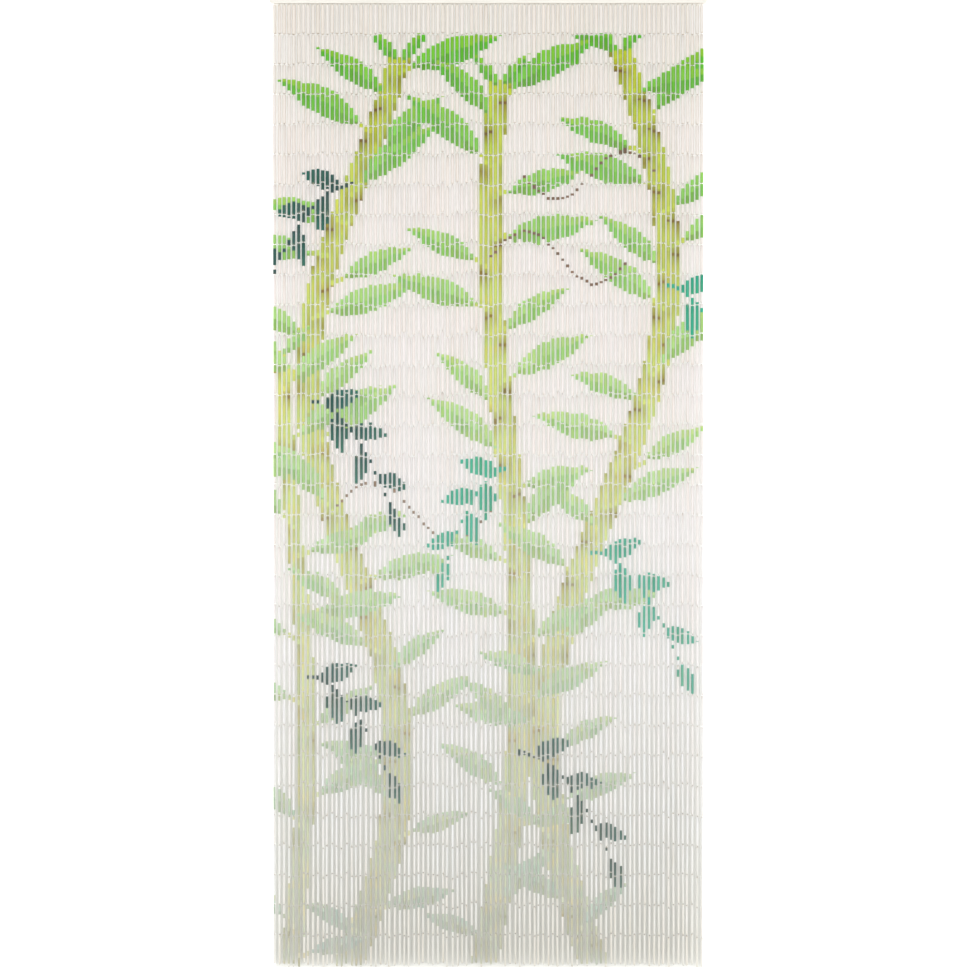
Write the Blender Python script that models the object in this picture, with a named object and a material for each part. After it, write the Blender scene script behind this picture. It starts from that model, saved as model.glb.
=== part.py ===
# Bamboo bead door curtain: strands of bamboo tubes that hang from a slim wooden head rail.
# Units are metres, +Z is up and the front faces -Y. The origin is the centre of the rail's
# flat back face, which is fixed to the wall or frame over the doorway.

import math
import random

import bmesh
import bpy

# Head rail
RAIL_WIDTH = 0.905
RAIL_HEIGHT = 0.012
RAIL_DEPTH = 0.018
RAIL_CORNER = 0.0045  # radius of the rounded corners at the rail's two ends
RAIL_CORNER_STEPS = 4
RAIL_EASING = 0.0008  # bevel round the front face

# Strands of bamboo tubes
STRAND_COUNT = 90
STRAND_PITCH = 0.00994
STRAND_DROP = 1.991  # from the rail's underside to the middle of the uneven ends
END_SPREAD = 0.005  # a strand ends up to this much above or below that
TOP_WIDTH = 0.0076  # thickness of a tube just under the rail
BOTTOM_WIDTH = 0.0045  # thickness of the last tube
TAPER_POWER = 1.2  # the thickness falls off faster near the top
STRAND_STEPS = 8  # straight stretches along each strand

# How far the strands drift out of plumb, which grows from nothing at the rail
SIDE_SWAY = 0.0018
DEPTH_SWAY = 0.0022
SWAY_TURNS = 1.25  # waves of drift over the full drop
STRAND_SEED = 90

# The narrow strip that the strands' roots are fused into, in place of their wire eyes
ROOT_GAP = 0.0003  # clearance under the rail
ROOT_HEIGHT = 0.0020

# Colours, as linear RGB
RAIL_CREAM = (0.81, 0.78, 0.70)
TUBE_IVORY = (0.80, 0.77, 0.69)


def clear_scene():
    for old in list(bpy.data.objects):
        bpy.data.objects.remove(old, do_unlink=True)


def make_material(name, colour, roughness):
    material = bpy.data.materials.new(name)
    material.use_nodes = True
    shader = material.node_tree.nodes["Principled BSDF"]
    shader.inputs["Base Color"].default_value = (*colour, 1.0)
    shader.inputs["Roughness"].default_value = roughness
    shader.inputs["Metallic"].default_value = 0.0
    return material


def add_object(name, mesh_builder, material):
    mesh = bpy.data.meshes.new(name)
    mesh_builder.to_mesh(mesh)
    mesh_builder.free()
    mesh.materials.append(material)
    item = bpy.data.objects.new(name, mesh)
    bpy.context.scene.collection.objects.link(item)
    return item


def rail_outline():
    """Corner points of the rail's front face, as a rectangle with four rounded corners."""
    half_width = RAIL_WIDTH / 2 - RAIL_CORNER
    half_height = RAIL_HEIGHT / 2 - RAIL_CORNER
    points = []
    for quarter, (x_sign, z_sign) in enumerate([(1, 1), (-1, 1), (-1, -1), (1, -1)]):
        for step in range(RAIL_CORNER_STEPS + 1):
            angle = math.pi / 2 * (quarter + step / RAIL_CORNER_STEPS)
            x = x_sign * half_width + RAIL_CORNER * math.cos(angle)
            z = z_sign * half_height + RAIL_CORNER * math.sin(angle)
            points.append((x, z))
    return points


def build_head_rail():
    """A plain batten, extruded forward from its flat back face, its front edges eased."""
    shape = bmesh.new()
    outline = [shape.verts.new((x, 0.0, z)) for x, z in rail_outline()]
    back = shape.faces.new(outline)
    extruded = bmesh.ops.extrude_face_region(shape, geom=[back])
    front = [v for v in extruded["geom"] if isinstance(v, bmesh.types.BMVert)]
    bmesh.ops.translate(shape, verts=front, vec=(0.0, -RAIL_DEPTH, 0.0))
    front_set = set(front)
    front_edges = [e for e in shape.edges if all(v in front_set for v in e.verts)]
    bmesh.ops.bevel(shape, geom=front_edges, offset=RAIL_EASING, segments=1,
                    profile=0.5, affect="EDGES")
    bmesh.ops.recalc_face_normals(shape, faces=shape.faces)
    rail = add_object("head_rail", shape, make_material("rail_wood", RAIL_CREAM, 0.55))
    rail.data.set_sharp_from_angle(angle=math.radians(40))
    return rail


def strand_habits():
    """One row for each strand: where it ends, and its own drift sideways and in depth."""
    dice = random.Random(STRAND_SEED)
    rows = []
    for index in range(STRAND_COUNT):
        rows.append({
            "x": (index - (STRAND_COUNT - 1) / 2) * STRAND_PITCH,
            "end": STRAND_DROP + dice.uniform(-END_SPREAD, END_SPREAD),
            "side_reach": SIDE_SWAY * dice.uniform(0.3, 1.0),
            "side_phase": dice.uniform(0.0, 2 * math.pi),
            "depth_reach": DEPTH_SWAY * dice.uniform(0.3, 1.0),
            "depth_phase": dice.uniform(0.0, 2 * math.pi),
        })
    return rows


def sway(reach, phase, drop):
    """Drift at a drop below the rail."""
    share = drop / STRAND_DROP
    return reach * share * math.sin(phase + 2 * math.pi * SWAY_TURNS * share)


def tube_width(drop):
    """Thickness of the tubes at a drop below the rail."""
    left = max(0.0, 1.0 - drop / STRAND_DROP)
    return BOTTOM_WIDTH + (TOP_WIDTH - BOTTOM_WIDTH) * left ** TAPER_POWER


def add_ring(shape, centre_x, centre_y, z, width):
    """Four corner points of a strand's square section, anticlockwise from above."""
    half = width / 2
    corners = [(-half, -half), (half, -half), (half, half), (-half, half)]
    return [shape.verts.new((centre_x + x, centre_y + y, z)) for x, y in corners]


def join_rings(shape, upper, lower):
    for side in range(4):
        after = (side + 1) % 4
        shape.faces.new((upper[side], lower[side], lower[after], upper[after]))


def add_strand(shape, row, root, root_drop):
    """Carries a strand down from its root's four points in the strip."""
    upper = root
    for step in range(1, STRAND_STEPS + 1):
        drop = root_drop + (row["end"] - root_drop) * step / STRAND_STEPS
        lower = add_ring(
            shape,
            row["x"] + sway(row["side_reach"], row["side_phase"], drop),
            -RAIL_DEPTH / 2 + sway(row["depth_reach"], row["depth_phase"], drop),
            -RAIL_HEIGHT / 2 - drop,
            tube_width(drop),
        )
        join_rings(shape, upper, lower)
        upper = lower
    shape.faces.new(list(reversed(upper)))


def build_bead_strands():
    """The strands side by side, their roots fused into one narrow strip under the rail."""
    shape = bmesh.new()
    root_drop = ROOT_GAP + ROOT_HEIGHT
    strip_top = -RAIL_HEIGHT / 2 - ROOT_GAP
    strip_foot = strip_top - ROOT_HEIGHT
    width = tube_width(root_drop)
    before = None
    for row in strand_habits():
        crown = add_ring(shape, row["x"], -RAIL_DEPTH / 2, strip_top, width)
        root = add_ring(shape, row["x"], -RAIL_DEPTH / 2, strip_foot, width)
        shape.faces.new(crown)
        for side in (0, 2):  # front and back of the strip at this strand
            after = side + 1
            shape.faces.new((crown[side], root[side], root[after], crown[after]))
        if before is None:  # left end of the strip
            shape.faces.new((crown[3], root[3], root[0], crown[0]))
        else:  # the stretch of strip from the strand before
            old_crown, old_root = before
            shape.faces.new((old_crown[1], crown[0], crown[3], old_crown[2]))
            shape.faces.new((old_root[1], old_root[2], root[3], root[0]))
            shape.faces.new((old_crown[1], old_root[1], root[0], crown[0]))
            shape.faces.new((crown[3], root[3], old_root[2], old_crown[2]))
        add_strand(shape, row, root, root_drop)
        before = (crown, root)
    crown, root = before
    shape.faces.new((crown[1], root[1], root[2], crown[2]))  # right end of the strip
    return add_object("bead_strands", shape, make_material("bamboo_tubes", TUBE_IVORY, 0.5))


clear_scene()
build_head_rail()
build_bead_strands()
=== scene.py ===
import math
import random

import bpy
import numpy as np
from mathutils import Matrix, Vector


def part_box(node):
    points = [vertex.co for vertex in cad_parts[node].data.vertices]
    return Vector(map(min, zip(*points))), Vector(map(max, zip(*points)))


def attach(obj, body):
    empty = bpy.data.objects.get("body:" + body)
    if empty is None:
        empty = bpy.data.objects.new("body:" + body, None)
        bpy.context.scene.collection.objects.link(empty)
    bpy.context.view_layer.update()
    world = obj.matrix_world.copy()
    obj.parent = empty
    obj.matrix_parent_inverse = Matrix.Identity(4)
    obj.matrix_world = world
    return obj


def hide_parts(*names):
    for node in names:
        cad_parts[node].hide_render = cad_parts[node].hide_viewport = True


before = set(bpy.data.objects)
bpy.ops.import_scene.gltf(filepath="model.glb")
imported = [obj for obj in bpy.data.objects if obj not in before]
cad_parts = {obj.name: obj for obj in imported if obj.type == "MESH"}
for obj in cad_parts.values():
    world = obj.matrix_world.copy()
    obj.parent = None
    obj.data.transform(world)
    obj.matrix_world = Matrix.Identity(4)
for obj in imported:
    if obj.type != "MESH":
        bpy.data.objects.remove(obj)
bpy.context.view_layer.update()  # metres, +Z up, front faces -Y, origin on the rail's back face
railLow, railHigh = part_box("head_rail")
strandsLow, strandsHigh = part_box("bead_strands")
print("frame loaded")

# How the strands hang. These are the sizes that the solids were made with.
hang = {
    "count": 90,
    "pitch": 0.00994,
    "drop": 1.991,          # rail's underside to the middle of the uneven ends
    "endSpread": 0.005,
    "topWidth": 0.0076,
    "bottomWidth": 0.0045,
    "taperPower": 1.2,
    "sideSway": 0.0018,
    "depthSway": 0.0022,
    "swayLeast": 0.3,       # the calmest strand's share of either sway
    "swayTurns": 1.25,
    "seed": 90,
}
railUnderside = railLow[2]
hangDepth = (railLow[1] + railHigh[1]) / 2  # strands hang from the middle of the rail


# Helpers for selecting and joining

def deselectAll():
    bpy.ops.object.select_all(action="DESELECT")
    bpy.context.view_layer.objects.active = None


def selectOnly(item):
    deselectAll()
    item.select_set(True)
    bpy.context.view_layer.objects.active = item


def clearPicks(item):
    bpy.ops.object.mode_set(mode="OBJECT")
    for elements in (item.data.vertices, item.data.edges, item.data.polygons):
        for element in elements:
            element.select = False


def pickFaces(item, test):
    clearPicks(item)
    for face in item.data.polygons:
        face.select = test(face)
    bpy.ops.object.mode_set(mode="EDIT")


def pickEdges(item, test):
    clearPicks(item)
    points = [vertex.co for vertex in item.data.vertices]
    for edge in item.data.edges:
        edge.select = test(points[edge.vertices[0]], points[edge.vertices[1]])
    bpy.ops.object.mode_set(mode="EDIT")


def meshParts(item):
    # the points and faces of a pattern, which is then no longer needed
    points = np.array([vertex.co for vertex in item.data.vertices])
    faces = [list(face.vertices) for face in item.data.polygons]
    bpy.data.objects.remove(item)
    return points, faces


def joinedMesh(name, points, faces, materials, slotsUsed=None):
    # points is copies x vertices x 3, faces the pattern of one copy
    copies, each = points.shape[:2]
    allFaces = [[corner + each * copy for corner in face] for copy in range(copies) for face in faces]
    mesh = bpy.data.meshes.new(name)
    mesh.from_pydata(points.reshape(-1, 3).tolist(), [], allFaces)
    for material in materials:
        mesh.materials.append(material)
    if slotsUsed is not None:
        mesh.polygons.foreach_set("material_index", np.tile(slotsUsed, copies))
    mesh.update()
    piece = bpy.data.objects.new(name, mesh)
    bpy.context.scene.collection.objects.link(piece)
    return piece


# How each strand hangs

def strandHabits():
    dice = random.Random(hang["seed"])
    rows = []
    for index in range(hang["count"]):
        rows.append({
            "x": (index - (hang["count"] - 1) / 2) * hang["pitch"],
            "end": hang["drop"] + dice.uniform(-hang["endSpread"], hang["endSpread"]),
            "sideReach": hang["sideSway"] * dice.uniform(hang["swayLeast"], 1.0),
            "sidePhase": dice.uniform(0.0, 2 * math.pi),
            "depthReach": hang["depthSway"] * dice.uniform(hang["swayLeast"], 1.0),
            "depthPhase": dice.uniform(0.0, 2 * math.pi),
        })
    return rows


def sway(reach, phase, drop):
    share = drop / hang["drop"]
    return reach * share * math.sin(phase + 2 * math.pi * hang["swayTurns"] * share)


def hangPoint(row, drop):
    x = row["x"] + sway(row["sideReach"], row["sidePhase"], drop)
    y = hangDepth + sway(row["depthReach"], row["depthPhase"], drop)
    return Vector((x, y, railUnderside - drop))


def tubeWidth(drop):
    left = max(0.0, 1.0 - drop / hang["drop"])
    return hang["bottomWidth"] + (hang["topWidth"] - hang["bottomWidth"]) * left ** hang["taperPower"]


strandRows = strandHabits()

# The tubes along a strand
tube = {
    "perStrand": 32,
    "perPiece": 6,          # strands that make up one piece
    "gap": 0.0021,          # between one tube and the next, where the wire eyes link
    "tail": 0.0018,         # last wire eye, under the last tube
    "lengthSpread": 0.0011,
    "jointSpread": 0.0003,  # how far a joint sits off the strand's own line
    "thickSpread": 0.06,
    "taperSpread": 0.03,    # how much thicker one end is than the other
    "ovalSpread": 0.03,
    "sides": 8,
    "radius": 0.0030,       # of the pattern tube; each copy gets its own
    "length": 0.0590,
    "rimEase": 0.00035,
    "wall": 0.0017,
    "boreDepth": 0.0025,
    "zones": 4,             # stretches of one paint along a tube, at most
    "zoneClear": 0.001,     # how near to the tube's end one may begin
    "wornEnd": 0.004,
    "smoothAngle": 50.0,
    "seed": 32,
}


def tubeSpans(row, dice):
    # top and bottom drop of every tube on the strand
    usable = row["end"] - tube["tail"] - tube["gap"] * tube["perStrand"]
    spread = tube["lengthSpread"] / tube["length"]
    lengths = [1.0 + dice.gauss(0.0, spread) for _ in range(tube["perStrand"])]
    scale = usable / sum(lengths)
    spans = []
    drop = 0.0
    for length in lengths:
        top = drop + tube["gap"]
        drop = top + length * scale
        spans.append((top, drop))
    return spans


# Painted plants: winding stems with broad leaves in two tones, hanging sprigs and dotted tendrils.
# Each paint is given fresh, faded and pale, as it looks on a screen, 0 to 255.
painting = {
    "fadeDrops": [0.05, 0.75, 1.98],  # drops at which a paint is fresh, faded and pale
    "from": 0.064,                    # the topmost tubes are bare
    "step": 0.0015,                   # along a strand, at which the plants are looked up
    "slip": 0.0025,                   # how far a strand has slipped since it was painted
    "tone": (0.88, 1.12),             # how much darker or lighter one brush stroke is than the next
    "cover": (0.97, 1.00),            # how well it covers the undercoat
}
paints = {
    "leaf": [(97, 194, 4), (174, 216, 134), (200, 209, 200)],
    "leafDeep": [(76, 182, 2), (154, 206, 114), (194, 204, 194)],
    "stem": [(178, 198, 4), (204, 216, 114), (208, 211, 193)],
    "bark": [(105, 74, 4), (137, 119, 46), (193, 191, 164)],
    "teal": [(26, 63, 63), (26, 78, 74), (100, 113, 108)],
    "sea": [(33, 153, 119), (48, 172, 138), (132, 180, 167)],
    "twig": [(118, 90, 70), (128, 104, 85), (186, 179, 165)],
}
branches = [
    {"foot": -0.290, "tip": -0.265, "bend": 0.100, "waves": 2.3, "from": 1.990, "to": 0.110, "thick": 0.064,
     "thin": 0.048, "nodes": 13, "side": 1, "lean": 0.75},
    {"foot": 0.220, "tip": 0.270, "bend": -0.115, "waves": 2.0, "from": 1.990, "to": 0.090, "thick": 0.064,
     "thin": 0.048, "nodes": 13, "side": -1, "lean": 0.20},
    {"foot": -0.010, "tip": 0.070, "bend": 0.055, "waves": 1.7, "from": 1.990, "to": 0.160, "thick": 0.058,
     "thin": 0.044, "nodes": 11, "side": 1, "lean": 0.55},
    {"foot": -0.410, "tip": -0.400, "bend": 0.030, "waves": 1.4, "from": 1.990, "to": 0.720, "thick": 0.042,
     "thin": 0.030, "nodes": 7, "side": -1, "lean": 0.40},
]
leafShape = {
    "longest": 0.200, "shortest": 0.145, "broad": 0.29, "fullest": 0.85, "curl": 0.22,
    "nodesFrom": 0.06, "nodesReach": 0.92, "crowding": 0.85,  # where the nodes stand along a stem
    "lowest": 8.0, "highest": 58.0, "turnStep": 0.382,        # angles, stepped so that they spread evenly
    "second": 0.82, "secondLower": 0.060,                     # the smaller leaf across from each
    "stalk": 0.036, "stalkInto": 1.2, "stalkHalf": 0.005,     # the stalk runs on into its leaf
    "tipTint": 0.45, "footTint": 0.30,
}
tipPair = {"size": 0.6, "aside": 0.004, "lower": 0.010, "along": 0.64, "up": 0.77}  # two leaves end a stem
# Soft brown shading on the stems, deepest just under each leaf and along one edge
barkShade = {
    "deepest": 0.85, "tall": 0.020, "lower": 0.012, "middle": 0.35, "across": 0.3,
    "edgeFrom": 0.60, "edge": 0.70, "edgeFade": 0.060, "scarTall": 0.0030, "scarFrom": 0.2,
}
# Sprigs hang in an arc from a stem, with small broad leaves left and right
sprigs = [
    {"branch": 0, "height": 0.86, "reach": -0.180, "fall": 0.210, "paint": "teal"},
    {"branch": 1, "height": 0.74, "reach": 0.150, "fall": 0.240, "paint": "sea"},
    {"branch": 0, "height": 0.62, "reach": 0.170, "fall": 0.220, "paint": "teal"},
    {"branch": 2, "height": 0.56, "reach": -0.130, "fall": 0.190, "paint": "sea"},
    {"branch": 1, "height": 0.45, "reach": 0.190, "fall": 0.230, "paint": "sea"},
    {"branch": 3, "height": 0.47, "reach": 0.170, "fall": 0.200, "paint": "teal"},
    {"branch": 2, "height": 0.24, "reach": 0.190, "fall": 0.220, "paint": "teal"},
]
sprigShape = {"leaves": 6, "longest": 0.090, "shortest": 0.070, "broad": 0.44, "lean": 42.0, "twig": 0.004,
              "tipTint": 0.25, "tint": "sea"}
# Tendrils wave away from a stem, one dot on each strand
tendrils = [
    {"branch": 2, "height": 0.80, "reach": 0.290, "rise": 0.055, "dot": 0.0055},
    {"branch": 0, "height": 0.50, "reach": 0.330, "rise": 0.060, "dot": 0.0055},
    {"branch": 1, "height": 0.86, "reach": -0.280, "rise": 0.050, "dot": 0.0055},
]


def linear(screen):
    share = np.asarray(screen, float) / 255.0
    return np.where(share <= 0.04045, share / 12.92, ((share + 0.055) / 1.055) ** 2.4)


paintTables = {name: linear(rows) for name, rows in paints.items()}


def fadedPaint(name, drops):
    table = paintTables[name]
    return np.stack([np.interp(drops, painting["fadeDrops"], table[:, band]) for band in range(3)], axis=-1)


def branchX(branch, height):
    # height runs from 0 at the stem's foot to 1 at its tip
    straight = branch["foot"] + (branch["tip"] - branch["foot"]) * height
    return straight + branch["bend"] * np.sin(math.pi * branch["waves"] * height)


def branchDrop(branch, height):
    return branch["from"] + (branch["to"] - branch["from"]) * height


def branchLeaves(branch):
    # at each node a large leaf, left and right in turn, and a smaller one across from it
    made = []
    side = branch["side"]
    turn = branch["lean"]
    longer = leafShape["longest"] - leafShape["shortest"]
    steeper = leafShape["highest"] - leafShape["lowest"]
    for number in range(branch["nodes"]):
        share = (number / (branch["nodes"] - 1)) ** leafShape["crowding"]
        height = leafShape["nodesFrom"] + leafShape["nodesReach"] * share
        length = leafShape["shortest"] + longer * height
        for way, size, lower in ((side, 1.0, 0.0), (-side, leafShape["second"], leafShape["secondLower"])):
            turn = (turn + leafShape["turnStep"]) % 1.0
            x = float(branchX(branch, height))
            drop = branchDrop(branch, height) + lower
            angle = math.radians(leafShape["lowest"] + steeper * turn)
            along = (way * math.cos(angle), math.sin(angle))
            made.append({
                "nodeX": x, "nodeDrop": drop, "along": along, "way": way, "length": length * size,
                "x": x + along[0] * leafShape["stalk"], "drop": drop - along[1] * leafShape["stalk"],
                "broad": leafShape["broad"], "curl": way * leafShape["curl"] * turn,
            })
        side = -side
    tipX = float(branchX(branch, 1.0))
    tipDrop = branchDrop(branch, 1.0) + tipPair["lower"]
    for way in (-1, 1):
        made.append({
            "nodeX": tipX, "nodeDrop": tipDrop, "along": (way * tipPair["along"], tipPair["up"]), "way": 0,
            "length": leafShape["shortest"] * tipPair["size"], "broad": leafShape["broad"], "curl": 0.0,
            "x": tipX + way * tipPair["aside"], "drop": tipDrop,
        })
    return made


def sprigLeaves(sprig):
    # the sprig's own leaves, the last one at its tip
    branch = branches[sprig["branch"]]
    sprig["x"] = float(branchX(branch, sprig["height"]))
    sprig["drop"] = branchDrop(branch, sprig["height"])
    made = []
    for number in range(sprigShape["leaves"]):
        place = (number + 1) / sprigShape["leaves"]
        fall = math.atan2(2 * sprig["fall"] * place, abs(sprig["reach"]))
        lean = 0.0 if place == 1 else math.radians(sprigShape["lean"]) * (1 if number % 2 else -1)
        side = math.copysign(1.0, sprig["reach"])
        made.append({
            "x": sprig["x"] + sprig["reach"] * place, "drop": sprig["drop"] + sprig["fall"] * place ** 2,
            "along": (side * math.cos(fall + lean), -math.sin(fall + lean)), "curl": 0.0,
            "length": sprigShape["longest"] + (sprigShape["shortest"] - sprigShape["longest"]) * place,
            "broad": sprigShape["broad"],
        })
    return made


for branch in branches:
    branch["leafRows"] = branchLeaves(branch)
for sprig in sprigs:
    sprig["leafRows"] = sprigLeaves(sprig)


def leafMask(leaf, x, drops):
    # which drops are inside the leaf, which of them are on its upper half, and how far along it they are
    acrossX = x - leaf["x"]
    up = leaf["drop"] - drops
    alongX, alongUp = leaf["along"]
    share = (acrossX * alongX + up * alongUp) / leaf["length"]
    off = (up * alongX - acrossX * alongUp) / leaf["length"] + leaf["curl"] * share ** 2
    within = np.clip(share, 0.0, 1.0)
    half = leaf["broad"] / 2 * np.sin(math.pi * within ** leafShape["fullest"])
    return (share > 0.0) & (share < 1.0) & (np.abs(off) < half), off * alongX > 0.0, within


def stemShade(branch, off, half, drops):
    # how brown the stem's paint is at each drop, from 0 to 1
    aside = np.abs(off) / half
    under = np.zeros(len(drops))
    edge = np.zeros(len(drops))
    for leaf in branch["leafRows"]:
        below = drops - leaf["nodeDrop"]
        if leaf["way"]:  # the pair at the tip leaves no smudge
            near = leaf["way"] * off > -barkShade["across"] * half
            smudge = np.exp(-((below - barkShade["lower"]) / barkShade["tall"]) ** 2)
            under = np.maximum(under, near * smudge)
        edge = np.maximum(edge, (below > 0.0) * np.exp(-np.maximum(below, 0.0) / barkShade["edgeFade"]))
    edgeReach = 1.0 - barkShade["edgeFrom"]
    onEdge = np.clip((off * branch["side"] / half - barkShade["edgeFrom"]) / edgeReach, 0.0, 1.0)
    soft = barkShade["deepest"] * under * (barkShade["middle"] + (1.0 - barkShade["middle"]) * aside)
    return np.clip(np.maximum(soft, barkShade["edge"] * edge * np.sqrt(onEdge)), 0.0, 1.0)


def paintStrand(x, drops, dice):
    # for each drop on a strand its linear colour and coverage, and the number of the stroke, 0 where bare
    colour = np.zeros((len(drops), 4))
    shape = np.zeros(len(drops), int)
    number = 0

    def lay(mask, name, tint=0.0, tintName="bark"):
        nonlocal number
        number += 1
        if mask.any():
            base = fadedPaint(name, drops[mask]) * dice.uniform(*painting["tone"])
            share = np.broadcast_to(tint, drops.shape)[mask][:, None]
            mixed = base + (fadedPaint(tintName, drops[mask]) - base) * share
            colour[mask, :3] = np.clip(mixed, 0.0, 1.0)
            colour[mask, 3] = dice.uniform(*painting["cover"])
            shape[mask] = number

    for branch in branches:
        height = (branch["from"] - drops) / (branch["from"] - branch["to"])
        there = (height >= 0.0) & (height <= 1.0)
        half = (branch["thick"] + (branch["thin"] - branch["thick"]) * height) / 2
        off = x - branchX(branch, height)
        onStem = there & (np.abs(off) < half)
        lay(onStem, "stem", stemShade(branch, off, half, drops))
        for leaf in branch["leafRows"]:  # each leaf's stalk, and its scar on the stem
            along = (x - leaf["nodeX"]) / (leaf["x"] - leaf["nodeX"])
            stalkDrop = leaf["nodeDrop"] + (leaf["drop"] - leaf["nodeDrop"]) * along
            onStalk = np.abs(drops - stalkDrop) < leafShape["stalkHalf"]
            lay((0.0 < along < leafShape["stalkInto"]) & onStalk, "stem")
            if leaf["way"]:
                level = np.abs(drops - leaf["nodeDrop"] - barkShade["lower"]) < barkShade["scarTall"]
                lay(onStem & level & (off * leaf["way"] > barkShade["scarFrom"] * half), "bark")
    for branch in branches:
        for leaf in branch["leafRows"]:
            inside, upper, along = leafMask(leaf, x, drops)
            lay(inside & upper, "leaf", leafShape["tipTint"] * along ** 2, "stem")
            lay(inside & ~upper, "leafDeep", leafShape["footTint"] * (1.0 - along) ** 2)
    for tendril in tendrils:
        branch = branches[tendril["branch"]]
        share = (x - float(branchX(branch, tendril["height"]))) / tendril["reach"]
        middle = branchDrop(branch, tendril["height"]) - tendril["rise"] * math.sin(2 * math.pi * share)
        lay((0.0 < share < 1.0) & (np.abs(drops - middle) < tendril["dot"] / 2), "twig")
    for sprig in sprigs:
        share = (x - sprig["x"]) / sprig["reach"]
        middle = sprig["drop"] + sprig["fall"] * share ** 2
        lay((0.0 < share < 1.0) & (np.abs(drops - middle) < sprigShape["twig"]), sprig["paint"])
        for leaf in sprig["leafRows"]:
            inside, _, along = leafMask(leaf, x, drops)
            lay(inside, sprig["paint"], sprigShape["tipTint"] * along, sprigShape["tint"])
    shape[drops < painting["from"]] = 0
    return colour, shape


def paintZones(colour, shape, drops, top, bottom):
    # a tube's painted zones, from its bottom up: the cuts between them, and each one's colour and coverage
    # at its lower and its upper end
    picked = (drops >= top) & (drops <= bottom)
    shapes, colours, places = shape[picked][::-1], colour[picked][::-1], drops[picked][::-1]
    edges = [0, *(np.flatnonzero(np.diff(shapes)) + 1).tolist(), len(shapes)]
    while len(edges) - 1 > tube["zones"]:  # the smallest zone joins its larger neighbour
        sizes = np.diff(edges)
        small = int(np.argmin(sizes))
        before = sizes[small - 1] if small > 0 else 0
        after = sizes[small + 1] if small + 1 < len(sizes) else 0
        edges.pop(small if before >= after else small + 1)
    while len(edges) - 1 < tube["zones"]:  # a spare cut goes through the longest zone
        wide = int(np.argmax(np.diff(edges)))
        edges.insert(wide + 1, (edges[wide] + edges[wide + 1]) // 2)
    zones = []
    for start, stop in zip(edges[:-1], edges[1:]):
        values, counts = np.unique(shapes[start:stop], return_counts=True)
        main = values[np.argmax(counts)]
        members = start + np.flatnonzero(shapes[start:stop] == main)
        zones.append(colours[[members[0], members[-1]]] * (main > 0))
    return [places[edge] for edge in edges[1:-1]], zones


# Shared shader nodes and groups

def addNode(tree, kind, inputs=None, **settings):
    node = tree.nodes.new(kind)
    for key, value in settings.items():
        setattr(node, key, value)
    for key, value in (inputs or {}).items():
        if isinstance(value, bpy.types.NodeSocket):
            tree.links.new(value, node.inputs[key])
        else:
            node.inputs[key].default_value = value
    return node


def newGroup(name, inputs, outputs):
    group = bpy.data.node_groups.new(name, "ShaderNodeTree")
    for label, kind, value in inputs:
        socket = group.interface.new_socket(name=label, in_out="INPUT", socket_type=kind)
        if value is not None:
            socket.default_value = value
    for label, kind in outputs:
        group.interface.new_socket(name=label, in_out="OUTPUT", socket_type=kind)
    return group, group.nodes.new("NodeGroupInput").outputs, group.nodes.new("NodeGroupOutput").inputs


grainLook = {
    "fibre": {"Scale": 1.0, "Detail": 3.0, "Roughness": 0.6},
    "fleck": {"Scale": 2.7, "Detail": 2.0, "Roughness": 0.7},
    "fleckEdge": {"From Min": 0.60, "From Max": 0.72},
}


def makeGrainGroup():
    # long fibres and short flecks along a stretched direction
    group, given, result = newGroup(
        "fibreGrain",
        [("Place", "NodeSocketVector", None), ("Stretch", "NodeSocketVector", (1.0, 1.0, 1.0)),
         ("Offset", "NodeSocketFloat", 0.0)],
        [("Fibre", "NodeSocketFloat"), ("Fleck", "NodeSocketFloat")],
    )
    shifted = addNode(group, "ShaderNodeVectorMath", {0: given["Place"], 1: given["Offset"]},
                      operation="ADD").outputs[0]
    placed = addNode(group, "ShaderNodeVectorMath", {0: shifted, 1: given["Stretch"]},
                     operation="MULTIPLY").outputs[0]
    fibre = addNode(group, "ShaderNodeTexNoise", {"Vector": placed, **grainLook["fibre"]})
    fleck = addNode(group, "ShaderNodeTexNoise", {"Vector": placed, **grainLook["fleck"]})
    sharp = addNode(group, "ShaderNodeMapRange", {"Value": fleck.outputs["Fac"], **grainLook["fleckEdge"]},
                    interpolation_type="SMOOTHSTEP")
    group.links.new(fibre.outputs["Fac"], result["Fibre"])
    group.links.new(sharp.outputs[0], result["Fleck"])
    return group


grainGroup = makeGrainGroup()


def newMaterial(name, **sockets):
    material = bpy.data.materials.new(name)
    material.use_nodes = True
    shader = material.node_tree.nodes["Principled BSDF"]
    for label, value in sockets.items():
        shader.inputs[label].default_value = value
    return material, material.node_tree, shader


def objectPlace(tree):
    return addNode(tree, "ShaderNodeTexCoord").outputs["Object"]


def placeGrain(tree, place, stretch, offset=0.0):
    given = {"Place": place, "Stretch": stretch, "Offset": offset}
    return addNode(tree, "ShaderNodeGroup", given, node_tree=grainGroup)


def product(tree, first, second):
    return addNode(tree, "ShaderNodeMath", {0: first, 1: second}, operation="MULTIPLY").outputs[0]


def scaled(tree, value, fromLow, fromHigh, toLow, toHigh):
    band = {"From Min": fromLow, "From Max": fromHigh, "To Min": toLow, "To Max": toHigh}
    return addNode(tree, "ShaderNodeMapRange", {"Value": value, **band}).outputs[0]


def blendColour(tree, factor, first, second, mode="MIX"):
    given = {0: factor, 6: first, 7: second}
    return addNode(tree, "ShaderNodeMix", given, data_type="RGBA", blend_type=mode).outputs[2]


def solidColour(screen):
    return (*linear(screen).tolist(), 1.0)


def coated(tree, mask, band, below, screen):
    # covers what lies below with a screen colour
    return blendColour(tree, scaled(tree, mask, *band), below, solidColour(screen))


def washed(tree, mask, band, below, share):
    # lets only a share of red, green and blue through
    return blendColour(tree, scaled(tree, mask, *band), below, (*share, 1.0), "MULTIPLY")


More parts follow.
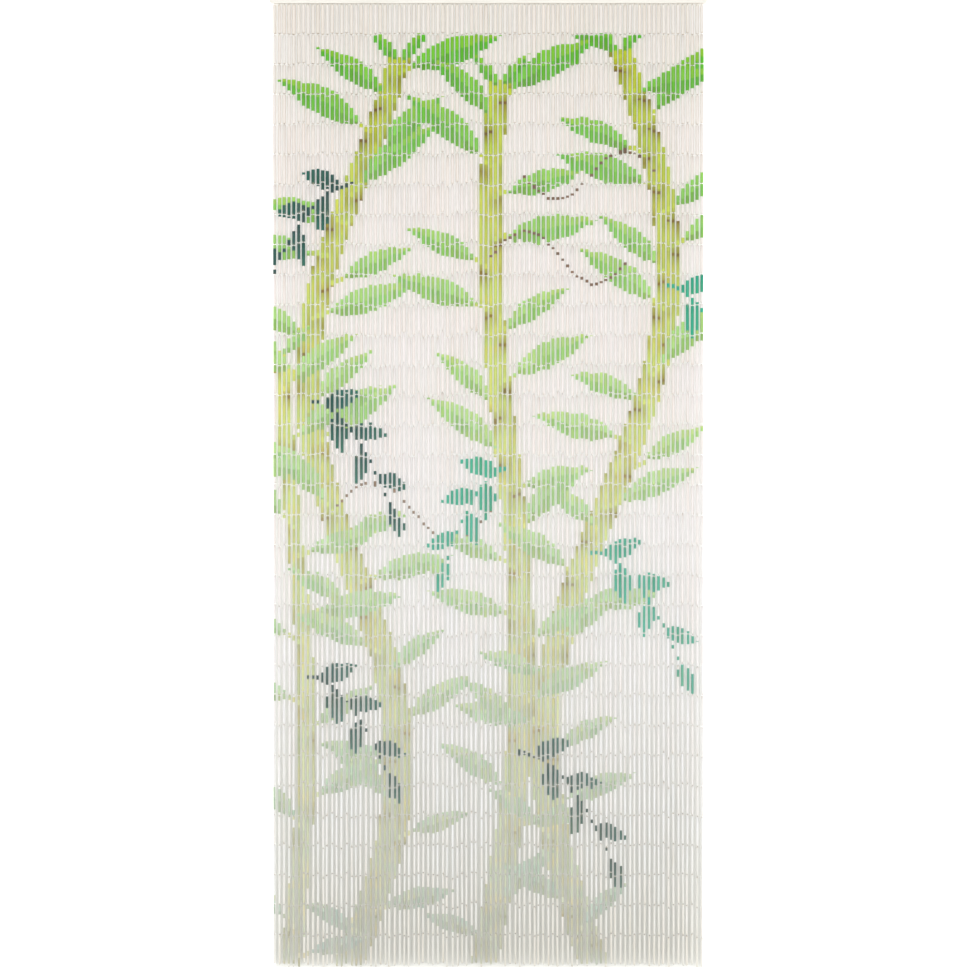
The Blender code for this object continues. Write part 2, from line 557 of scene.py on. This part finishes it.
def heightRamp(tree, height, rows):
    # rows of height and colour, from the top down
    share = scaled(tree, height, rows[0][0], rows[-1][0], 0.0, 1.0)
    ramp = addNode(tree, "ShaderNodeValToRGB", {"Fac": share})
    stops = ramp.color_ramp.elements
    while len(stops) < len(rows):
        stops.new(0.5)
    for stop, (place, colour) in zip(stops, rows):
        stop.position = (place - rows[0][0]) / (rows[-1][0] - rows[0][0])
        stop.color = colour
    return ramp.outputs["Color"]


def finishShader(tree, shader, colour, mask, look):
    # the mask gives the roughness, and the relief where there is one
    tree.links.new(colour, shader.inputs["Base Color"])
    tree.links.new(scaled(tree, mask, *look["roughBand"]), shader.inputs["Roughness"])
    if "relief" in look:
        bump = addNode(tree, "ShaderNodeBump", {"Height": mask, **look["relief"]})
        tree.links.new(bump.outputs[0], shader.inputs["Normal"])


# Finishes. Colours are given as on a screen, 0 to 255, and washes as the shares that they let through.
# A band holds the low and high end of a mask, and how much is laid at each.
tubeFinish = {
    "shine": {"IOR": 1.46, "Specular IOR Level": 0.3},
    "ivoryRows": [(0.0, (239, 234, 228)), (-0.5, (243, 237, 235)), (-0.9, (243, 238, 237)),
                  (-1.3, (243, 241, 242)), (-1.7, (244, 244, 244)), (-2.0, (245, 243, 237))],
    "warm": (1.0, 0.975, 0.945),
    "cool": (0.975, 0.990, 0.985),
    "drift": {"Scale": 40.0, "Detail": 2.0},
    "yellow": (1.25, 1.0, 0.75),
    "yellowBand": (0.5, 0.75, 0.0, 0.5),
    "blue": (0.80, 0.96, 1.05),
    "blueBand": (0.5, 0.25, 0.0, 0.5),
    "stretch": (700.0, 700.0, 11.0),
    "ridgeBand": (0.50, 0.70, 1.0, 0.96),
    "grain": (0.84, 0.80, 0.74),
    "grainBand": (0.52, 0.70, 0.0, 0.90),
    "streak": (0.72, 0.64, 0.52),
    "streakBand": (0.0, 1.0, 0.0, 0.35),
    "worn": (196, 184, 164),
    "wornBand": (0.42, 0.58, 0.0, 0.6),
    "roughBand": (0.3, 0.8, 0.42, 0.60),
    "relief": {"Strength": 0.5, "Distance": 0.0002},
}


def makeTubeMaterial():
    look = tubeFinish
    material, tree, shader = newMaterial("paintedBamboo", **look["shine"])
    place = objectPlace(tree)
    tone = addNode(tree, "ShaderNodeAttribute", attribute_name="tubeTone").outputs["Fac"]
    paint = addNode(tree, "ShaderNodeAttribute", attribute_name="paint").outputs
    ends = addNode(tree, "ShaderNodeAttribute", attribute_name="endNear").outputs["Fac"]
    grain = placeGrain(tree, place, look["stretch"], tone).outputs
    # the tubes' colour is darker and creamier towards the top, and differs a little from tube to tube
    height = addNode(tree, "ShaderNodeSeparateXYZ", {0: place}).outputs[2]
    ivory = heightRamp(tree, height, [(z, solidColour(screen)) for z, screen in look["ivoryRows"]])
    warm = blendColour(tree, tone, ivory, (*look["warm"], 1.0), "MULTIPLY")
    hue = addNode(tree, "ShaderNodeTexWhiteNoise", {"W": tone}, noise_dimensions="1D").outputs["Value"]
    cool = blendColour(tree, hue, warm, (*look["cool"], 1.0), "MULTIPLY")
    # the plants' paint turns a little yellower or bluer along a stroke
    drift = addNode(tree, "ShaderNodeTexNoise", {"Vector": place, **look["drift"]}).outputs["Fac"]
    yellower = washed(tree, drift, look["yellowBand"], paint["Color"], look["yellow"])
    bluer = washed(tree, drift, look["blueBand"], yellower, look["blue"])
    # it lies thinner on the ridges of the fibres
    cover = product(tree, paint["Alpha"], scaled(tree, grain["Fibre"], *look["ridgeBand"]))
    covered = blendColour(tree, cover, cool, bluer)
    grained = washed(tree, grain["Fibre"], look["grainBand"], covered, look["grain"])
    streaked = washed(tree, grain["Fleck"], look["streakBand"], grained, look["streak"])
    # worn ends, where the tubes knock on their wires
    wear = product(tree, ends, grain["Fibre"])
    worn = coated(tree, wear, look["wornBand"], streaked, look["worn"])
    finishShader(tree, shader, worn, grain["Fibre"], look)
    return material


# Sawn ends and bores of the tubes
cutFinish = {"raw": (214, 190, 146), "dark": (150, 120, 80), "darkBand": (0.4, 0.65, 0.0, 1.0),
             "stretch": (2600.0, 2600.0, 300.0), "roughBand": (0.3, 0.8, 0.7, 0.9)}


def makeCutMaterial():
    look = cutFinish
    material, tree, shader = newMaterial("sawnBamboo")
    fibre = placeGrain(tree, objectPlace(tree), look["stretch"]).outputs["Fibre"]
    colour = coated(tree, fibre, look["darkBand"], solidColour(look["raw"]), look["dark"])
    finishShader(tree, shader, colour, fibre, look)
    return material


wireFinish = {"bright": (178, 174, 166), "dull": (116, 110, 101), "dullBand": (0.35, 0.7, 0.0, 1.0),
              "cloud": {"Scale": 420.0, "Detail": 3.0}, "roughBand": (0.3, 0.7, 0.28, 0.5)}


def makeWireMaterial():
    look = wireFinish
    material, tree, shader = newMaterial("galvanisedWire", **{"Metallic": 1.0})
    cloud = addNode(tree, "ShaderNodeTexNoise", {"Vector": objectPlace(tree), **look["cloud"]}).outputs["Fac"]
    colour = coated(tree, cloud, look["dullBand"], solidColour(look["bright"]), look["dull"])
    finishShader(tree, shader, colour, cloud, look)
    return material


railFinish = {
    "shine": {"IOR": 1.46, "Specular IOR Level": 0.45},
    "cream": (247, 244, 237),
    "shade": (236, 232, 223),
    "shadeBand": (0.35, 0.7, 0.0, 1.0),
    "wood": (196, 160, 112),
    "woodBand": (0.0, 1.0, 0.0, 0.12),
    "stretch": (9.0, 420.0, 420.0),
    "roughBand": (0.3, 0.8, 0.40, 0.58),
    "relief": {"Strength": 0.4, "Distance": 0.0003},
}


def makeRailMaterial():
    look = railFinish
    material, tree, shader = newMaterial("creamPaintedWood", **look["shine"])
    grain = placeGrain(tree, objectPlace(tree), look["stretch"]).outputs
    painted = coated(tree, grain["Fibre"], look["shadeBand"], solidColour(look["cream"]), look["shade"])
    chipped = coated(tree, grain["Fleck"], look["woodBand"], painted, look["wood"])
    finishShader(tree, shader, chipped, grain["Fibre"], look)
    return material


tubeMaterial = makeTubeMaterial()
cutMaterial = makeCutMaterial()
wireMaterial = makeWireMaterial()
railMaterial = makeRailMaterial()
print("materials made")


# The pattern tube: a ring-sided cylinder with eased rims and a sunk bore at each end

def modelTube():
    deselectAll()
    bpy.ops.mesh.primitive_cylinder_add(vertices=tube["sides"], radius=tube["radius"], depth=tube["length"],
                                        end_fill_type="NGON", location=(0.0, 0.0, tube["length"] / 2))
    item = bpy.context.object
    bpy.ops.object.transform_apply(location=True, rotation=True, scale=True)
    # cuts round the tube, which each copy moves to the edges of its paint
    for cut in range(1, tube["zones"]):
        height = tube["length"] * cut / tube["zones"]
        bpy.ops.object.mode_set(mode="EDIT")
        bpy.ops.mesh.select_all(action="SELECT")
        bpy.ops.mesh.bisect(plane_co=(0.0, 0.0, height), plane_no=(0.0, 0.0, 1.0))
        bpy.ops.object.mode_set(mode="OBJECT")
    bpy.ops.object.mode_set(mode="EDIT")
    bpy.ops.mesh.select_mode(type="EDGE")
    pickEdges(item, lambda a, b: abs(a.z - b.z) < 1e-6 and (a.z < 1e-6 or a.z > tube["length"] - 1e-6))
    bpy.ops.mesh.bevel(offset=tube["rimEase"], segments=1)
    bpy.ops.mesh.select_mode(type="FACE")
    pickFaces(item, lambda face: abs(face.normal.z) > 0.99)
    bpy.ops.mesh.inset(thickness=tube["wall"] - tube["rimEase"], use_individual=True)
    bpy.ops.mesh.extrude_region_shrink_fatten(TRANSFORM_OT_shrink_fatten={"value": -tube["boreDepth"]})
    bpy.ops.object.mode_set(mode="OBJECT")
    return item


def tubePattern():
    # the pattern's mesh, and what the copies need to know of its points, faces and face corners
    points, faces = meshParts(modelTube())
    heights = points[:, 2]
    reach = np.hypot(points[:, 0], points[:, 1])
    zoneLength = tube["length"] / tube["zones"]
    faceZone = np.array([np.mean(heights[face]) for face in faces]) // zoneLength
    faceZone = np.clip(faceZone, 0, tube["zones"] - 1).astype(int)
    cornerZone = np.repeat(faceZone, [len(face) for face in faces])
    cornerHeight = np.concatenate([heights[face] for face in faces])
    fromEnd = np.minimum(heights, tube["length"] - heights)
    return {
        "points": points,
        "faces": faces,
        "high": heights > tube["length"] - zoneLength / 2,
        "rings": [np.abs(heights - zoneLength * cut) < 1e-5 for cut in range(1, tube["zones"])],
        "cornerZone": cornerZone,
        "cornerEnd": (cornerHeight > (cornerZone + 0.5) * zoneLength).astype(int),  # 0 lower end, 1 upper
        "sawn": np.array([(reach[face] < tube["radius"] - 1e-4).all() for face in faces]).astype(int),
        "endNear": np.clip(1.0 - fromEnd / tube["wornEnd"], 0.0, 1.0),
    }


def shapedTube(pattern, upper, lower, width, cutHeights, dice):
    # a copy of the pattern from one joint to the next, with its rings at the cuts in its paint
    points = pattern["points"]
    size = width / 2 / tube["radius"] * (1 + tube["thickSpread"] * dice.uniform(-1, 1))
    real = (upper - lower).length
    z = np.where(pattern["high"], points[:, 2] + real - tube["length"], points[:, 2])
    for ring, height in zip(pattern["rings"], cutHeights):
        z[ring] = min(max(height, tube["zoneClear"]), real - tube["zoneClear"])
    taper = dice.uniform(-tube["taperSpread"], tube["taperSpread"])
    wide = size * (1 + taper * (z / real - 0.5))
    oval = 1 + dice.uniform(-tube["ovalSpread"], tube["ovalSpread"])
    turned = dice.uniform(0.0, 2 * math.pi)
    turnCos, turnSin = math.cos(turned), math.sin(turned)
    x, y = points[:, 0] * wide * oval, points[:, 1] * wide / oval
    local = np.stack([x * turnCos - y * turnSin, x * turnSin + y * turnCos, z], axis=-1)
    turn = (upper - lower).to_track_quat("Z", "Y").to_matrix()
    return local @ np.array(turn).T + np.array(lower)


def markTubes(piece, pattern, paintRows, toneRows):
    # the paint at each face corner, each tube's tone, and how near each point is to a tube's end
    marks = [
        ("paint", "FLOAT_COLOR", "CORNER", "color", np.array(paintRows)),
        ("tubeTone", "FLOAT", "FACE", "value", np.repeat(toneRows, len(pattern["faces"]))),
        ("endNear", "FLOAT", "POINT", "value", np.tile(pattern["endNear"], len(toneRows))),
    ]
    for name, kind, domain, field, values in marks:
        layer = piece.data.attributes.new(name, kind, domain)
        layer.data.foreach_set(field, values.astype(np.float32).ravel())


# The tubes' own map: every tube unrolled in a cell of its own, its two ends above and below
tubeMap = {
    "across": 28,
    "margin": 0.08,         # left and right of a tube, in its cell
    "edge": 0.01,           # above and below it
    "wallFoot": 0.10,
    "wallTall": 0.80,
    "endWide": 0.22,
    "endTall": 0.18,        # as a share of its width
    "endX": (0.25, 0.75),   # the sawn faces, and the bore's wall
    "endY": (0.045, 0.955),
}


def mapTubes(piece, pattern, count):
    points = pattern["points"]
    scale = tubeMap["endWide"] / tube["radius"]
    corners = []
    for face, sawn in zip(pattern["faces"], pattern["sawn"]):
        middle = np.mean(points[face], axis=0)
        middleAngle = math.atan2(middle[1], middle[0])
        endX = tubeMap["endX"][0 if np.ptp(points[face, 2]) < 1e-5 else 1]
        endY = tubeMap["endY"][0 if middle[2] < tube["length"] / 2 else 1]
        for x, y, z in points[face]:
            if sawn:
                u = endX + x * scale
                v = endY + y * scale * tubeMap["endTall"]
            else:
                turn = middleAngle + math.remainder(math.atan2(y, x) - middleAngle, 2 * math.pi)
                u = 0.5 + turn / (2 * math.pi)
                v = tubeMap["wallFoot"] + tubeMap["wallTall"] * z / tube["length"]
            corners.append((tubeMap["margin"] + (1 - 2 * tubeMap["margin"]) * u,
                            tubeMap["edge"] + (1 - 2 * tubeMap["edge"]) * v))
    across = tubeMap["across"]
    down = math.ceil(count / across)
    cells = np.arange(count)
    origin = np.stack([cells % across / across, cells // across / down], axis=-1)
    values = origin[:, None, :] + np.array(corners)[None, :, :] / np.array([across, down])
    layer = piece.data.uv_layers.new(name="OFBake")
    layer.data.foreach_set("uv", values.astype(np.float32).ravel())


def makeTubes():
    # gives back the joints and the strands' last points, each with the number of its piece
    pattern = tubePattern()
    dice = random.Random(tube["seed"])
    joints, tails = [], []
    for start in range(0, hang["count"], tube["perPiece"]):
        group = start // tube["perPiece"]
        copies, paintRows, toneRows = [], [], []
        for row in strandRows[start:start + tube["perPiece"]]:
            spans = tubeSpans(row, dice)
            drops = np.arange(0.0, row["end"], painting["step"])
            slip = dice.uniform(-painting["slip"], painting["slip"])
            colour, shape = paintStrand(row["x"], drops + slip, dice)
            offsets = [Vector((dice.uniform(-1, 1), dice.uniform(-1, 1), 0.0)) * tube["jointSpread"]
                       for _ in range(len(spans) + 1)]
            offsets[0] = Vector((0.0, 0.0, 0.0))
            tails.append((hangPoint(row, spans[-1][1]) + offsets[-1], group))
            for number, (top, bottom) in enumerate(spans):
                upper = hangPoint(row, top) + offsets[number]
                lower = hangPoint(row, bottom) + offsets[number + 1]
                joints.append((upper + Vector((0.0, 0.0, tube["gap"] / 2)), group))
                cuts, zones = paintZones(colour, shape, drops, top, bottom)
                heights = [bottom - cut for cut in cuts]
                width = tubeWidth((top + bottom) / 2)
                copies.append(shapedTube(pattern, upper, lower, width, heights, dice))
                paintRows.append(np.array(zones)[pattern["cornerZone"], pattern["cornerEnd"]])
                toneRows.append(dice.random())
        piece = joinedMesh(f"tubes_{group + 1:02d}", np.array(copies), pattern["faces"],
                           [tubeMaterial, cutMaterial], pattern["sawn"])
        markTubes(piece, pattern, paintRows, toneRows)
        mapTubes(piece, pattern, len(copies))
        selectOnly(piece)
        bpy.ops.object.shade_smooth_by_angle(angle=math.radians(tube["smoothAngle"]))
        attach(piece, "root")
        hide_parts("bead_strands")
    return joints, tails


joints, tails = makeTubes()
print("tubes made:", len(joints))

# Wire eyes: each tube's wire ends in a small ring, which links into the next tube's ring
wire = {
    "perPiece": 3,          # pieces of tubes whose wire makes up one piece
    "ring": 0.0008,
    "thick": 0.00025,
    "ringSteps": 8,
    "wireSteps": 3,
    "turnSpread": 0.5,
    "seed": 17,
}


def modelRing():
    deselectAll()
    bpy.ops.mesh.primitive_torus_add(major_segments=wire["ringSteps"], minor_segments=wire["wireSteps"],
                                     major_radius=wire["ring"], minor_radius=wire["thick"],
                                     rotation=(math.pi / 2, 0.0, 0.0))
    ring = bpy.context.object
    bpy.ops.object.transform_apply(location=True, rotation=True, scale=True)
    return ring


def makeLinks():
    points, faces = meshParts(modelRing())
    dice = random.Random(wire["seed"])
    apart = wire["ring"] - wire["thick"]
    groups = {}

    def addRing(place, turn, lift, group):
        rotation = np.array(Matrix.Rotation(turn, 3, "Z"))
        middle = np.array(place + Vector((0.0, 0.0, lift)))
        groups.setdefault(group // wire["perPiece"], []).append(points @ rotation.T + middle)

    for place, group in joints:
        turn = dice.uniform(-wire["turnSpread"], wire["turnSpread"])
        addRing(place, turn, apart, group)
        addRing(place, turn + math.pi / 2, -apart, group)
    for place, group in tails:  # the last eye hangs free
        addRing(place, dice.uniform(0.0, math.pi), -wire["ring"], group)
    for group, copies in groups.items():
        piece = joinedMesh(f"wires_{group + 1}", np.array(copies), faces, [wireMaterial])
        selectOnly(piece)
        bpy.ops.object.shade_smooth()
        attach(piece, "root")


makeLinks()
print("wire links made")

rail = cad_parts["head_rail"]
rail.data.materials.clear()
rail.data.materials.append(railMaterial)
print("rail finished")

# Floor, backdrop, light and camera
stageSizes = {"wallGap": 0.006, "wallWide": 9.0, "wallHigh": 5.0, "floorDrop": 0.030, "floorDeep": 9.0}
floorFinish = {"Base Color": (0.86, 0.86, 0.85, 1.0), "Roughness": 0.8}
backdrop = {
    "finish": {"Roughness": 0.9, "Specular IOR Level": 0.1, "Emission Strength": 1.0},
    "open": (230, 230, 229),
    # painted shade: behind the curtain the backdrop's colour darkens towards the floor, from open to
    # shadeFoot
    "shadeFoot": (214, 214, 209),  # behind the curtain's foot
    "shadeFrom": -1.0,             # heights between which the shade deepens
    "shadeTo": -1.7,
    # by height, the share of its glow that is left behind the curtain: painted shade of the curtain, which
    # thins out just above the curtain's foot
    "paintedShadeGlowRows": [(0.0, 0.32), (-0.2, 0.35), (-0.5, 0.33), (-0.8, 0.29), (-1.1, 0.26), (-1.4, 0.21),
                 (-1.7, 0.15), (-1.967, 0.09), (-1.984, 0.12), (-1.994, 0.18), (-2.0, 0.28)],
    "edge": 0.006,
}
studio = {"sky": 0.48, "seenSky": 0.85, "key": 160.0, "keySize": 3.0, "keyAside": 2.6, "keyBack": 7.1,
          "aim": (0.0, 0.0, -1.0)}
photo = {"size": 970.0, "perMetre": 483.0, "railFootRow": 3.7, "middleColumn": 488.3, "distance": 7.0}


def makeBackdropMaterial():
    # the backdrop glows softly; behind the curtain the glow is dimmed and the colour darkened towards the
    # floor, as painted shade of the curtain
    material, tree, shader = newMaterial("paleBackdrop", **backdrop["finish"])
    place = addNode(tree, "ShaderNodeSeparateXYZ", {0: objectPlace(tree)}).outputs
    aside = addNode(tree, "ShaderNodeMath", {0: place[0]}, operation="ABSOLUTE").outputs[0]
    beside = scaled(tree, aside, strandsHigh[0] - backdrop["edge"], strandsHigh[0], 1.0, 0.0)
    above = scaled(tree, place[2], strandsLow[2] - backdrop["edge"], strandsLow[2], 0.0, 1.0)
    behind = product(tree, beside, above)
    deeper = scaled(tree, place[2], backdrop["shadeFrom"], backdrop["shadeTo"], 0.0, 1.0)
    shaded = blendColour(tree, product(tree, behind, deeper), solidColour(backdrop["open"]),
                         solidColour(backdrop["shadeFoot"]))
    tree.links.new(shaded, shader.inputs["Base Color"])
    glowInPaintedShade = heightRamp(tree, place[2], [(z, (left, left, left, 1.0)) for z, left in backdrop["paintedShadeGlowRows"]])
    glow = blendColour(tree, behind, (1.0, 1.0, 1.0, 1.0), glowInPaintedShade)
    tree.links.new(glow, shader.inputs["Emission Color"])
    # seen from behind the backdrop is clear, so that the curtain's back can be looked at
    back = addNode(tree, "ShaderNodeNewGeometry").outputs["Backfacing"]
    clear = addNode(tree, "ShaderNodeBsdfTransparent").outputs[0]
    mixed = addNode(tree, "ShaderNodeMixShader", {0: back, 1: shader.outputs[0], 2: clear})
    tree.links.new(mixed.outputs[0], tree.nodes["Material Output"].inputs["Surface"])
    return material


def addPlane(name, place, wide, long, turn, material):
    deselectAll()
    bpy.ops.mesh.primitive_plane_add(size=1.0, location=place, rotation=(turn, 0.0, 0.0))
    plane = bpy.context.object
    plane.name = name
    plane.scale = (wide, long, 1.0)
    bpy.ops.object.transform_apply(location=True, rotation=True, scale=True)
    plane.data.materials.append(material)
    return plane


def makeStage():
    floorHeight = strandsLow[2] - stageSizes["floorDrop"]
    wallMiddle = (0.0, stageSizes["wallGap"], floorHeight + stageSizes["wallHigh"] / 2)
    floor = addPlane("floor", (0.0, 0.0, floorHeight), stageSizes["wallWide"], stageSizes["floorDeep"], 0.0,
                     newMaterial("paleFloor", **floorFinish)[0])
    wall = addPlane("backdrop", wallMiddle, stageSizes["wallWide"], stageSizes["wallHigh"], math.pi / 2,
                    makeBackdropMaterial())


def makeLight():
    world = bpy.data.worlds.new("studio")
    bpy.context.scene.world = world
    world.use_nodes = True
    tree = world.node_tree
    tree.nodes["Background"].inputs["Color"].default_value = (1.0, 1.0, 1.0, 1.0)
    # the sky itself looks paler than the light that it gives
    seen = addNode(tree, "ShaderNodeLightPath").outputs["Is Camera Ray"]
    tree.links.new(scaled(tree, seen, 0.0, 1.0, studio["sky"], studio["seenSky"]),
                   tree.nodes["Background"].inputs["Strength"])
    # a softbox on either side of the camera
    aim = Vector(studio["aim"])
    for name, way in (("softboxLeft", -1), ("softboxRight", 1)):
        light = bpy.data.lights.new(name, "AREA")
        light.energy = studio["key"]
        light.shape = "SQUARE"
        light.size = studio["keySize"]
        lamp = bpy.data.objects.new(name, light)
        lamp.location = (way * studio["keyAside"], -studio["keyBack"], aim.z)
        lamp.rotation_mode = "QUATERNION"
        lamp.rotation_quaternion = (aim - lamp.location).to_track_quat("-Z", "Y")
        bpy.context.scene.collection.objects.link(lamp)


def makeCamera():
    # dead frontal; the photo's rows and columns give the height and the sideways place
    across = (photo["size"] / 2 - photo["middleColumn"]) / photo["perMetre"]
    height = railUnderside - (photo["size"] / 2 - photo["railFootRow"]) / photo["perMetre"]
    data = bpy.data.cameras.new("camera")
    data.lens = data.sensor_width * photo["distance"] / (photo["size"] / photo["perMetre"])
    camera = bpy.data.objects.new("camera", data)
    camera.location = (across, hangDepth - photo["distance"], height)
    camera.rotation_euler = (math.pi / 2, 0.0, 0.0)
    bpy.context.scene.collection.objects.link(camera)
    bpy.context.scene.camera = camera


makeStage()
makeLight()
makeCamera()
bpy.context.scene.view_settings.view_transform = "Standard"
print("stage, light and camera made")
